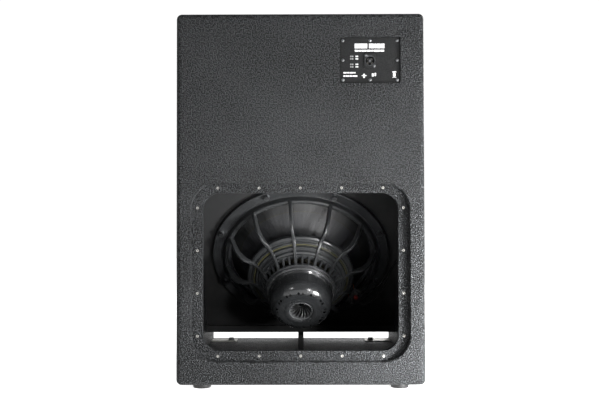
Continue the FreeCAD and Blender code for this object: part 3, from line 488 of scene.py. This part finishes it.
finishes = {
    "cabinet_paint": textured_paint("cabinet_paint", 0.0, 0.048, 0.4, 340, 0.0035),
    "inside_paint": plain_wood_paint("inside_paint", 0.02),
    "plate_paint": textured_paint("plate_paint", 0.002, 0.009, 0.5, 900, 0.0003),
    "black_screw": plated("black_screw", grey(0.2, -0.03), 0.25),
    "bright_steel": plated("bright_steel", (0.5, 0.49, 0.46, 1), 0.45),
    "grille_paint": textured_paint("grille_paint", 0.018, 0.024, 0.4, 900, 0.0002),
    "foam": open_foam("foam", 0.012),
    "foot_rubber": moulded("foot_rubber", grey(0.006), 0.35, 700, 0.0002),
    "socket_plastic": ringed_plastic("socket_plastic", 0.004, 0.11),
    "contact_metal": plated("contact_metal", (0.75, 0.72, 0.66, 1), 0.18),
    "wire_skin": moulded("wire_skin", grey(0.006), 0.12, 500, 0.00005),
    "clip_plastic": moulded("clip_plastic", grey(0.03), 0.4),
    "basket_paint": cast_paint("basket_paint", 0.024, 0.22),
    "gasket_foam": open_foam("gasket_foam", 0.01, 1200),
    "cone_paper": cone_paper("cone_paper"),
    "surround_cloth": round_cloth(
        "surround_cloth", (0.05, 0.052, 0.06, 1), (0.02, 0.021, 0.025, 1), 0.3, 0.5),
    "spider_cloth": round_cloth("spider_cloth", (0.03, 0.027, 0.012, 1), (0.01, 0.009, 0.004, 1), 0.05),
    "coil_former": moulded("coil_former", (0.03, 0.024, 0.014, 1), 0.35, 300),
    "copper": wound_copper("copper"),
    # the last argument places round spots of painted hole shade on the pot's rear face
    "motor_paint": cast_paint("motor_paint", 0.014, 0.1, 90, 0.0001, (12, 0.0585, 0.0033, math.radians(-5))),
    "motor_steel": plated("motor_steel", (0.35, 0.35, 0.36, 1), 0.3),
    "magnet": moulded("magnet", grey(0.04), 0.5, 260, 0.0003),
    "red_plastic": moulded("red_plastic", (0.08, 0.008, 0.007, 1), 0.3),
    "black_plastic": moulded("black_plastic", grey(0.02), 0.35),
    "handle_paint": textured_paint("handle_paint", 0.02, 0.027, 0.4, 800, 0.0003),
    "handle_rubber": moulded("handle_rubber", grey(0.022), 0.62, 800, 0.0002, 0.15),
}
for part in frame["record"]["subparts"]:
    node = frame["nodes"][part["node"]]
    node.data.materials.clear()
    node.data.materials.append(finishes[part["material_slot"]])


# ------------------------------------------------------------------ basket
rib_count = 12
first_rib = math.radians(90 - 7.5)
rib_turns = first_rib + np.arange(rib_count) * 2 * math.pi / rib_count
vent_count = 36
vent_pitch = 2 * math.pi / vent_count
vent_gap = 11

flange = eased([
    (230, -10), (230, -1.5), (228.5, 0), (208, 0), (206.5, -3.5), (202, -3.5), (200, 4), (199.5, 8),
    (197, 11), (190, 12), (188, 9), (188.5, 0), (190, -1), (200, -8.5), (202, -10),
], 1.2)
landing = eased([
    (136, 66), (136, 75), (132, 78), (125, 78), (123, 83), (116, 83), (114.5, 90), (108, 91), (106, 98),
    (102, 99), (100.5, 104), (89.4, 104), (107, 82), (109, 76), (111, 72), (130, 72), (131, 66),
], 1.0)
collar = eased([
    (89.8, 123), (89.5, 127), (85.3, 127), (85.3, 121), (78, 121), (78, 114), (83, 112), (84.9, 114),
    (85.1, 120.4), (86, 123),
], 0.7)
rib_steps = 60
rib_outside = spaced([
    (200, 4), (199, 10), (191, 28), (186, 44), (178, 60), (168, 71), (158, 77.5), (148, 80), (134, 80),
    (123, 86), (114, 94), (103.5, 107), (93, 122), (91, 126.5),
], rib_steps)
rib_inside = spaced([
    (192, 3), (190, 5), (182, 18), (176, 34), (168, 49), (158, 60), (148, 67), (134, 70), (126, 75),
    (114, 78), (109, 84), (98, 97), (88, 112), (87, 126.5),
], rib_steps)
way = np.linspace(0, 1, rib_steps)
rib_half = 3.7 + 4.5 * np.exp(-way / 0.045) + 1.2 * np.exp(-((way - 0.62) / 0.07) ** 2)
basket_sheets = [lathe(at_driver, flange), lathe(at_driver, landing), lathe(at_driver, collar)]
basket_sheets += [barred(at_driver, rib_inside, rib_outside, rib_half, turn) for turn in rib_turns]

fin_outside = spaced([(101.5, 102), (100.5, 104), (90, 122.5), (89.7, 125)], 14)
fin_inside = spaced([(91, 102), (89.5, 104), (86, 114), (85.6, 125)], 14)
fin_half = (fin_outside[:, 0] * vent_pitch - vent_gap) / 2
fin_turns = (first_rib + np.arange(vent_count) * vent_pitch).reshape(rib_count, 3)[:, 1:].ravel()
basket_sheets += [barred(at_driver, fin_inside, fin_outside, fin_half, turn, 12, 0.6) for turn in fin_turns]
fixed("basket_casting", mesh_of("basket_casting", basket_sheets), "basket_paint", "basket")

gasket_profile = eased([(208, -12.9), (229, -12.9), (229, -10.1), (208, -10.1)], 1.1)
seal = mesh_of("basket_seal", [lathe(at_driver, gasket_profile)])
fixed("basket_seal", seal, "gasket_foam", "basket_gasket")


# ------------------------------------------------------------------ cone suspension
surround = eased([
    (177, -12.6), (181, -12.6), (184, -19), (188, -19), (191, -13), (194, -19), (198, -19), (200.5, -12),
    (206.5, -12), (206.5, -10.1), (199.5, -10.1), (196.5, -16.5), (195.5, -16.5), (192, -10.5), (190, -10.5),
    (186.5, -16.5), (185.5, -16.5), (182, -11.3), (177, -11.3),
], 2.4)
surround_mesh = mesh_of("cone_surround", [lathe(at_driver, surround)], 60)
flexing("cone_surround", surround_mesh, "surround_cloth", "surround",
        lambda radius, level: (201 - radius) / 20)


def corrugated(inner, outer, level, wave, swing, thickness, count=150):
    """A ring of cloth whose height swings as a sine of the radius, fading to flat within 8 mm of both rims,
    as a closed line."""
    radius = np.linspace(inner, outer, count)
    fade = np.clip(np.minimum(radius - inner, outer - radius) / 8, 0, 1)
    height = level + swing * fade * np.sin(2 * np.pi * (radius - inner) / wave)
    top = np.stack([radius, height + thickness / 2], axis=-1)
    return np.concatenate([top, np.stack([radius, height - thickness / 2], axis=-1)[::-1]])


spider = corrugated(50.7, 129.4, 70.2, 8.4, 1.7, 0.9)
spider_mesh = mesh_of("spider_disc", [lathe(at_driver, spider, 128)], 60)
flexing("spider_disc", spider_mesh, "spider_cloth", "spider", lambda radius, level: (126 - radius) / 72)


glue_skin = moulded("glue_skin", (0.04, 0.038, 0.018, 1), 0.03, 150, 0.0008)
glue = lathe(at_driver, eased([(116.4, 83), (116.6, 84.6), (118.3, 85), (120, 84.4), (120.4, 83)], 0.6))
fixed("spider_glue_bead", mesh_of("spider_glue_bead", [glue], 60), None, material=glue_skin)

rim_bead = lathe(at_driver, eased([(156.8, 2.6), (157.2, 3.9), (158.6, 3.6), (159.4, 1.1)], 0.5))
bead = shown("cone_rim_bead", mesh_of("cone_rim_bead", [rim_bead], 60), None, glue_skin)
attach(bead, "cone_assembly")


# ------------------------------------------------------------------ motor vent
vent_lip = eased([(27, 184), (29.3, 184), (29.3, 196.6), (28.7, 197.7), (27.5, 197.2), (27, 196)], 0.5)
vent_hub = eased([(5.5, 168), (8.5, 168), (8.5, 173), (7.5, 174.5), (6.3, 174.5), (5.5, 173)], 0.7)
blade_count = 16
blade_reach = np.linspace(0, 1, 16)
blade_low = np.stack([7.8 + 19.6 * blade_reach, 168.5 + 14 * blade_reach**3], axis=-1)
blade_high = np.stack([7.8 + 19.6 * blade_reach, 174.5 + 21.5 * blade_reach**0.85], axis=-1)
blade_swirl = math.radians(26) * blade_reach**1.4


def straight_blade(turn):
    """A thin upright wall from hub to lip, whose half width grows from 0.7 to 1.4 mm with its reach."""
    return barred(at_driver, blade_low, blade_high, 0.7 + 0.7 * blade_reach, turn, 12, 0.5)


def swirled(sheet):
    """A wall with every row turned about the driver's axis by its swirl, which grows as its reach to the
    power 1.4; the end rows take their neighbours' swirl."""
    grid, wrap_rows, wrap_columns = sheet
    bend = np.concatenate([blade_swirl[:1], blade_swirl, blade_swirl[-1:]])[:, None]
    offset = grid - driver_middle
    level, side, rise = offset @ axis, offset @ across, offset @ uphill
    new_side = side * np.cos(bend) + rise * np.sin(bend)
    new_rise = rise * np.cos(bend) - side * np.sin(bend)
    points = driver_middle + new_side[..., None] * across + new_rise[..., None] * uphill
    return points + level[..., None] * axis, wrap_rows, wrap_columns


blade_turns = np.arange(blade_count) * 2 * math.pi / blade_count
blades = [swirled(straight_blade(turn)) for turn in blade_turns]


def deep_paint(name):
    """Cast metal coloured near-black deep in the vent as painted shade, and pale along the outer tops of the
    blades as painted light.
    """
    f = Finish(name)
    level = f.along(axis, driver_middle)
    radius = driver_fields(f)[0]
    # painted light and shade: pale towards the vent's mouth and outer radius, near-black deeper in
    up = level.between(0.182, 0.196) * radius.between(0.008, 0.022)
    peel = f.noise(260, 2)
    colour = f.mix(up * (peel * 0.5 + 0.6), grey(0.001), grey(0.07, -0.03))
    return f.done(colour, peel * 0.2 + 0.3, peel, 0.0002, 0.7)


vent_sheets = [lathe(at_driver, vent_lip), lathe(at_driver, vent_hub, 48)] + blades
fixed("vent_cooler", mesh_of("vent_cooler", vent_sheets), None, "vent_heat_sink",
      material=deep_paint("vent_metal"))


# ------------------------------------------------------------------ wires
def driver_spot(radius, degrees, level):
    """A point of the driver's frame, in millimetres and degrees, as a list in metres."""
    return [float(v) for v in at_driver(radius, math.radians(degrees), level)]


def cable(name, route, radius):
    """A smooth round cord: an open NURBS line of order 3 with the route's points as its control points."""
    curve = bpy.data.curves.new(name, "CURVE")
    curve.dimensions = "3D"
    line = curve.splines.new("NURBS")
    line.points.add(len(route) - 1)
    for spot, place in zip(line.points, route):
        spot.co = (*place, 1)
    line.order_u = 3
    line.use_endpoint_u = True
    line.resolution_u = 12
    curve.bevel_depth = radius
    curve.bevel_resolution = 4
    curve.use_fill_caps = True
    return curve


wire_radius = 0.0014
lead_radius = 0.0011
terminal_turn = 114
post_radius = 157.6
post_level = 89
post_turn = math.degrees(math.atan(12 / 150))
upper_post = driver_spot(post_radius, terminal_turn - post_turn, post_level)
lower_post = driver_spot(post_radius, terminal_turn + post_turn, post_level)
socket_back = -0.3118
rise_x = 0.2556
negative_route = [
    lower_post, (0.149, -0.034, 0.164), (0.161, -0.044, 0.161), (0.176, -0.062, 0.171),
    (0.192, -0.112, 0.191), (0.206, -0.170, 0.226), (0.215, -0.230, 0.262), (0.228, -0.283, 0.290),
    (0.248, -0.297, 0.330), (rise_x, -0.2975, 0.380), (rise_x + 0.0004, -0.297, 0.450),
    (rise_x, -0.2975, 0.520), (rise_x + 0.0004, -0.297, 0.600), (rise_x, -0.2975, 0.670),
    (0.248, -0.297, 0.715), (0.220, -0.300, 0.738), (0.190, -0.307, 0.746),
    (0.172, socket_back + 0.004, 0.747), (0.1629, socket_back, 0.7447),
]
positive_route = [
    upper_post, (0.156, -0.052, 0.190), (0.176, -0.078, 0.201), (0.196, -0.120, 0.217),
    (0.210, -0.170, 0.244), (0.219, -0.226, 0.274), (0.234, -0.280, 0.300), (0.250, -0.293, 0.340),
    (rise_x, -0.2934, 0.390), (rise_x + 0.0004, -0.2932, 0.460), (rise_x, -0.2934, 0.530),
    (rise_x + 0.0004, -0.2932, 0.610), (rise_x, -0.2934, 0.680), (0.244, -0.292, 0.726),
    (0.212, -0.294, 0.752), (0.180, -0.302, 0.762), (0.160, socket_back + 0.004, 0.757),
    (0.1532, socket_back, 0.7452),
]
for word, route in (("negative", negative_route), ("positive", positive_route)):
    wire = f"driver_wire_{word}"
    fixed(wire, cable(wire, route, wire_radius), "wire_skin", f"wire_{word}")


def lead_route(degrees):
    """A flexible lead's way from under the terminal board to the back of the cone."""
    return [driver_spot(143, degrees, 79.5), driver_spot(145, degrees, 66), driver_spot(140, degrees, 50),
            driver_spot(128, degrees, 40), driver_spot(117, degrees, 29.5)]


def merged_meshes(name, curves):
    """The tubes of several curves as one mesh."""
    work = bmesh.new()
    for curve in curves:
        helper = bpy.data.objects.new(name, curve)
        work.from_mesh(bpy.data.meshes.new_from_object(helper))
        bpy.data.objects.remove(helper)
    mesh = bpy.data.meshes.new(name)
    work.to_mesh(mesh)
    work.free()
    mesh.polygons.foreach_set("use_smooth", np.ones(len(mesh.polygons), bool))
    return mesh


lead_curves = [cable("lead", lead_route(terminal_turn + side * 6.5), lead_radius) for side in (-1, 1)]
leads = merged_meshes("cone_leads", lead_curves)
flexing("cone_leads", leads, "copper", "tinsel_leads", lambda radius, level: (76 - level) / 42)


# ------------------------------------------------------------------ grille
grille_low, grille_high = (np.array(corner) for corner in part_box("grille"))
foam_low, foam_high = (np.array(corner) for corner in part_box("grille_foam"))
sheet_metal = 0.0015


def hexagon_sheet(name, low, high, face, pitch, web):
    """A flat sheet pierced in a honeycomb: six-sided tiles at a pitch, each a ring of six faces between its
    edge and a smaller six-sided hole, in rows that are half a pitch out of step; tiles outside the frame are
    left off."""
    rise = pitch * math.sqrt(3) / 2
    columns = np.arange(math.ceil((high[0] - low[0]) / pitch) + 1)
    rows = np.arange(math.ceil((high[2] - low[2]) / rise) + 1)
    x = low[0] + pitch * (columns[None] + 0.5 * (rows[:, None] % 2))
    z = np.broadcast_to(low[2] + rise * rows[:, None], x.shape)
    inside_x = (x > low[0] + pitch / 2) & (x < high[0] - pitch / 2)
    inside_z = (z > low[2] + rise / 2) & (z < high[2] - rise / 2)
    inside = inside_x & inside_z
    x, z = x[inside], z[inside]
    turn = np.arange(6) * math.pi / 3 + math.pi / 6
    edge = pitch / math.sqrt(3)
    hole = (pitch - web) / math.sqrt(3)
    reach = np.array([edge, hole])
    px = x[:, None, None] + reach[None, :, None] * np.cos(turn)
    pz = z[:, None, None] + reach[None, :, None] * np.sin(turn)
    points = np.stack([px, np.full_like(px, face), pz], axis=-1).reshape(-1, 3)
    base = np.arange(len(x))[:, None] * 12
    this = np.arange(6)[None]
    following = (this + 1) % 6
    corners = [base + this, base + following, base + 6 + following, base + 6 + this]
    faces = np.stack(corners, axis=-1).reshape(-1, 4)
    mesh = bpy.data.meshes.new(name)
    mesh.from_pydata(points, [], faces)
    work = bmesh.new()
    work.from_mesh(mesh)
    bmesh.ops.remove_doubles(work, verts=work.verts, dist=2e-5)
    work.to_mesh(mesh)
    work.free()
    return mesh


border = 0.014
net_inset = border * 0.6
net_face = grille_high[1] - 0.0003
net = hexagon_sheet(
    "grille_mesh", grille_low + net_inset, grille_high - net_inset, net_face, pitch=0.0102, web=0.0022)
grille_net = fixed("grille_mesh", net, "grille_paint", "grille")
thicken = grille_net.modifiers.new("sheet", "SOLIDIFY")
thicken.thickness = sheet_metal - 0.0004
thicken.offset = -1 if net.polygons[0].normal.y > 0 else 1

grille_middle = (grille_low + grille_high) / 2
grille_size = grille_high - grille_low


def folded_border():
    """The grille's rim: an L-shaped section, a flat face strip and a fold back into the box, carried round
    a rounded rectangle that shrinks by each section point's inset."""
    section = eased([
        (0, -grille_size[1]), (0, 0), (border, 0), (border, -sheet_metal), (sheet_metal, -sheet_metal),
        (sheet_metal, -grille_size[1]),
    ], 0.0016, 5)
    inset, level = section[:, 0][:, None], section[:, 1][:, None]
    outline = rounded_rectangle(grille_size[0], grille_size[2], 0.003)
    unit = rounded_rectangle(2, 2, 0.02)
    x = grille_middle[0] + outline[None, :, 0] - unit[None, :, 0] * inset
    z = grille_middle[2] + outline[None, :, 1] - unit[None, :, 1] * inset
    y = np.broadcast_to(grille_high[1] + level, x.shape)
    return np.stack([x, y, z], axis=-1), True, True


fixed("grille_rim", mesh_of("grille_rim", [folded_border()]), "grille_paint")

foam_middle = (foam_low + foam_high) / 2
foam_size = foam_high - foam_low
foam_line = rounded_rectangle(foam_size[0], foam_size[2], 0.004)
foam_outline = np.stack([foam_middle[0] + foam_line[:, 0], np.full(len(foam_line), foam_middle[1]),
                         foam_middle[2] + foam_line[:, 1]], axis=-1)
half_foam = foam_size[1] / 2
foam_stack = [(0, half_foam), (0.5, half_foam), (0.985, half_foam), (0.996, half_foam * 0.6), (1, 0),
              (0.996, -half_foam * 0.6), (0.985, -half_foam), (0.5, -half_foam), (0, -half_foam)]
foam_mesh = mesh_of("grille_backing", [slab(foam_outline, (0, 1, 0), foam_stack)], 70)
grille_pad = fixed("grille_backing", foam_mesh, "foam", "grille_foam")


# ------------------------------------------------------------------ feet and handle grips
foot_profile = eased([(6.5, 0), (20, 0), (21, 7.3), (21, 9.5), (2.7, 9.5), (2.7, 5), (6.5, 5)], 1.4)
foot_x, foot_y = 0.225, 0.312
foot_spots = [(x, y, 0) for x in (-foot_x, foot_x) for y in (-foot_y, foot_y)]
feet = [lathe(about(spot, (1, 0, 0), (0, 1, 0), (0, 0, 1)), foot_profile, 64) for spot in foot_spots]
fixed("feet", mesh_of("feet", feet), "foot_rubber", "rubber_feet")


def grip(node):
    """A rubber grip on a handle bar: its radius dips in shallow cosine grooves every 5.6 mm, and thins by
    1.6 mm at both ends."""
    low, high = (np.array(corner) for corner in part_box(node))
    middle = (low + high) / 2
    length = (high[1] - low[1]) / mm
    radius = (high[2] - low[2]) / 2 / mm
    level = np.linspace(-length / 2, length / 2, 241)
    grooved = np.abs(level) < 0.4 * length
    groove = np.where(grooved, 0.5 - 0.5 * np.cos(2 * np.pi * level / 5.6), 0)
    shrink = 1.6 * np.clip((np.abs(level) / length - 0.43) / 0.02, 0, 1)
    outer = radius - 0.55 * (1 - groove) * grooved - shrink
    profile = np.stack([outer, level], axis=-1)
    profile = np.concatenate([[[0, -length / 2]], profile, [[0, length / 2]]])
    turn = np.linspace(0, 2 * np.pi, 48, endpoint=False)[:, None]
    place = about(middle, (1, 0, 0), (0, 0, 1), (0, 1, 0))
    return place(profile[None, :, 0], turn, profile[None, :, 1]), True, False


for word in ("left", "right"):
    name = f"handle_grip_{word}"
    bar = f"handle_bar_{word}"
    fixed(name, mesh_of(name, [grip(bar)], 60), "handle_rubber", bar)


# ------------------------------------------------------------------ printing on the input plate
plate_low, plate_high = (np.array(corner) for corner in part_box("input_plate"))


def screen_print(name, value):
    """Screen-printing ink: slightly uneven cover with tiny gaps."""
    f = Finish(name)
    cover = f.noise(900, 3).between(0.3, 0.62)
    return f.done(f.mix(cover, grey(value * 0.45), grey(value)), 0.55 - cover * 0.1, cover, 0.00002, 0.4)


white_ink = screen_print("white_ink", 0.75)
grey_ink = screen_print("grey_ink", 0.25)
plate_width = plate_high[0] - plate_low[0]
plate_height = plate_high[2] - plate_low[2]
ink = 0.00012


def mark(left, top, right, bottom, corner=0.0004):
    """A printed block: its edges are shares of the plate's width from the left and of its height from the
    top."""
    width = (right - left) * plate_width
    height = (bottom - top) * plate_height
    line = rounded_rectangle(width, height, min(corner, 0.3 * width, 0.3 * height), 3)
    x = plate_low[0] + (left + right) / 2 * plate_width + line[:, 0]
    z = plate_high[2] - (top + bottom) / 2 * plate_height + line[:, 1]
    outline = np.stack([x, np.full_like(x, plate_low[1]), z], axis=-1)
    return slab(outline, (0, -1, 0), [(0, ink), (1, ink), (1, -ink), (0, -ink)])


def dashes(left, top, right, bottom, shares, gap=0.006):
    """A row of blocks of the given shares of a line, with even gaps between them."""
    ends = np.cumsum(shares) / np.sum(shares)
    starts = np.concatenate([[0], ends[:-1]])
    return [mark(left + (right - left) * a + gap / 2, top, left + (right - left) * b - gap / 2, bottom)
            for a, b in zip(starts, ends)]


legend_rows = (0.40, 0.455, 0.575, 0.63)
legend_height = 0.032
title = [mark(0.243, 0.135, 0.455, 0.24)] + dashes(0.48, 0.135, 0.745, 0.24, [1, 3, 2, 3, 1, 2])
caption = dashes(0.243, 0.27, 0.74, 0.312, [3, 2, 4, 3, 2, 5, 3])
legend = []
for row in legend_rows:
    legend += dashes(0.255, row, 0.305, row + legend_height, [1, 1])
footer = dashes(0.05, 0.76, 0.26, 0.792, [4, 3, 5, 2]) + dashes(0.05, 0.832, 0.29, 0.864, [3, 5, 4, 6])
symbols = [mark(0.36, 0.83, 0.44, 0.85), mark(0.385, 0.80, 0.415, 0.89), mark(0.53, 0.79, 0.56, 0.86),
           mark(0.575, 0.78, 0.6, 0.85), mark(0.87, 0.75, 0.94, 0.77), mark(0.885, 0.78, 0.925, 0.86),
           mark(0.87, 0.875, 0.94, 0.885)]
dim_legend = []
for row in legend_rows:
    dim_legend += dashes(0.165, row, 0.225, row + legend_height, [2, 3])
white_marks = title + caption + legend + footer + symbols
fixed("plate_printing_white", mesh_of("plate_printing_white", white_marks), None, material=white_ink)
fixed("plate_printing_grey", mesh_of("plate_printing_grey", dim_legend), None, material=grey_ink)


# ------------------------------------------------------------------ floor, light and camera
def pale_floor():
    """A wide flat sheet on the ground, nearly white with a faint mottle. Its own glow halves on the near
    side."""
    span = np.linspace(-7, 7, 15)
    x, y = np.meshgrid(span, span, indexing="ij")
    sheet = np.stack([x, y, 0 * x], axis=-1), False, False
    floor = bpy.data.objects.new("floor", mesh_of("floor", [sheet]))
    bpy.context.scene.collection.objects.link(floor)
    f = Finish("floor_paint")
    cloud = f.noise(3, 2)
    near = f.along((0, 1, 0)).between(-1.3, -0.5)
    glow = f.mix(near, grey(0.5), grey(1.0))
    floor.data.materials.append(f.done(
        f.mix(cloud, grey(0.8), grey(0.84)), 0.9, Emission_Color=glow, Emission_Strength=0.95,
        Specular_IOR_Level=0.1))


def panel_light(name, place, target, width, height, power):
    """A soft rectangular white light at a place, facing a target."""
    lamp = bpy.data.lights.new(name, "AREA")
    lamp.shape = "RECTANGLE"
    lamp.size, lamp.size_y = width, height
    lamp.energy = power
    holder = bpy.data.objects.new(name, lamp)
    holder.location = place
    way = np.array(target, float) - np.array(place, float)
    spin = math.atan2(way[1], way[0]) - math.pi / 2
    lift = math.atan2(way[2], math.hypot(way[0], way[1]))
    holder.rotation_euler = (math.pi / 2 + lift, 0, spin)
    holder.visible_camera = False
    bpy.context.scene.collection.objects.link(holder)


def studio_sky(front, rear):
    """A sky that is `rear` bright where +Y points, on the grille's side, and eases to `front` on the side of
    the hatch."""
    world = bpy.data.worlds.new("studio")
    world.use_nodes = True
    nodes, links = world.node_tree.nodes, world.node_tree.links
    way = nodes.new("ShaderNodeTexCoord")
    split = nodes.new("ShaderNodeSeparateXYZ")
    ramp = nodes.new("ShaderNodeMapRange")
    ramp.interpolation_type = "SMOOTHSTEP"
    for socket, value in (("From Min", 0.6), ("From Max", 0.9), ("To Min", front), ("To Max", rear)):
        ramp.inputs[socket].default_value = value
    links.new(way.outputs["Generated"], split.inputs["Vector"])
    links.new(split.outputs["Y"], ramp.inputs["Value"])
    links.new(ramp.outputs["Result"], nodes["Background"].inputs["Strength"])
    nodes["Background"].inputs["Color"].default_value = (1, 1, 1, 1)
    bpy.context.scene.world = world


pale_floor()
studio_sky(0.22, 1.05)
panel_light("key", (0.56, -0.68, 0.05), (0.28, -0.36, 0.0), 0.15, 0.15, 20)
panel_light("main_lamp", (0.95, -2.2, 0.32), (0, -0.2, 0.35), 0.15, 0.2, 21)
panel_light("side_lamp", (1.3, -0.9, 0.6), (0.25, -0.35, 0.45), 0.4, 0.6, 34)
panel_light("left_lamp", (-1.2, -2.3, 0.9), (0, -0.2, 0.4), 0.2, 0.3, 6)
panel_light("top", (0, -0.9, 2.6), (0, -0.2, 0.4), 1.6, 1.0, 2)
panel_light("grille_lamp", (1.2, 2.6, 1.3), (0, 0.3, 0.4), 1.2, 1.2, 90)

bpy.context.scene.view_settings.view_transform = "Standard"

# the focal length and the shifts are shares of the picture's width
eye_distance = 2.05
focal_share = 1.5205
camera_data = bpy.data.cameras.new("camera")
camera_data.sensor_width = 36
camera_data.lens = camera_data.sensor_width * focal_share
camera_data.shift_x = 0.00718333
camera_data.shift_y = -0.00171667
camera = bpy.data.objects.new("camera", camera_data)
camera.location = (0.0027, cad_box[0][1] - eye_distance, 0.3772)
camera.rotation_euler = tuple(math.radians(turn) for turn in (91.407, 0.115, 0.373))
bpy.context.scene.collection.objects.link(camera)
bpy.context.scene.camera = camera
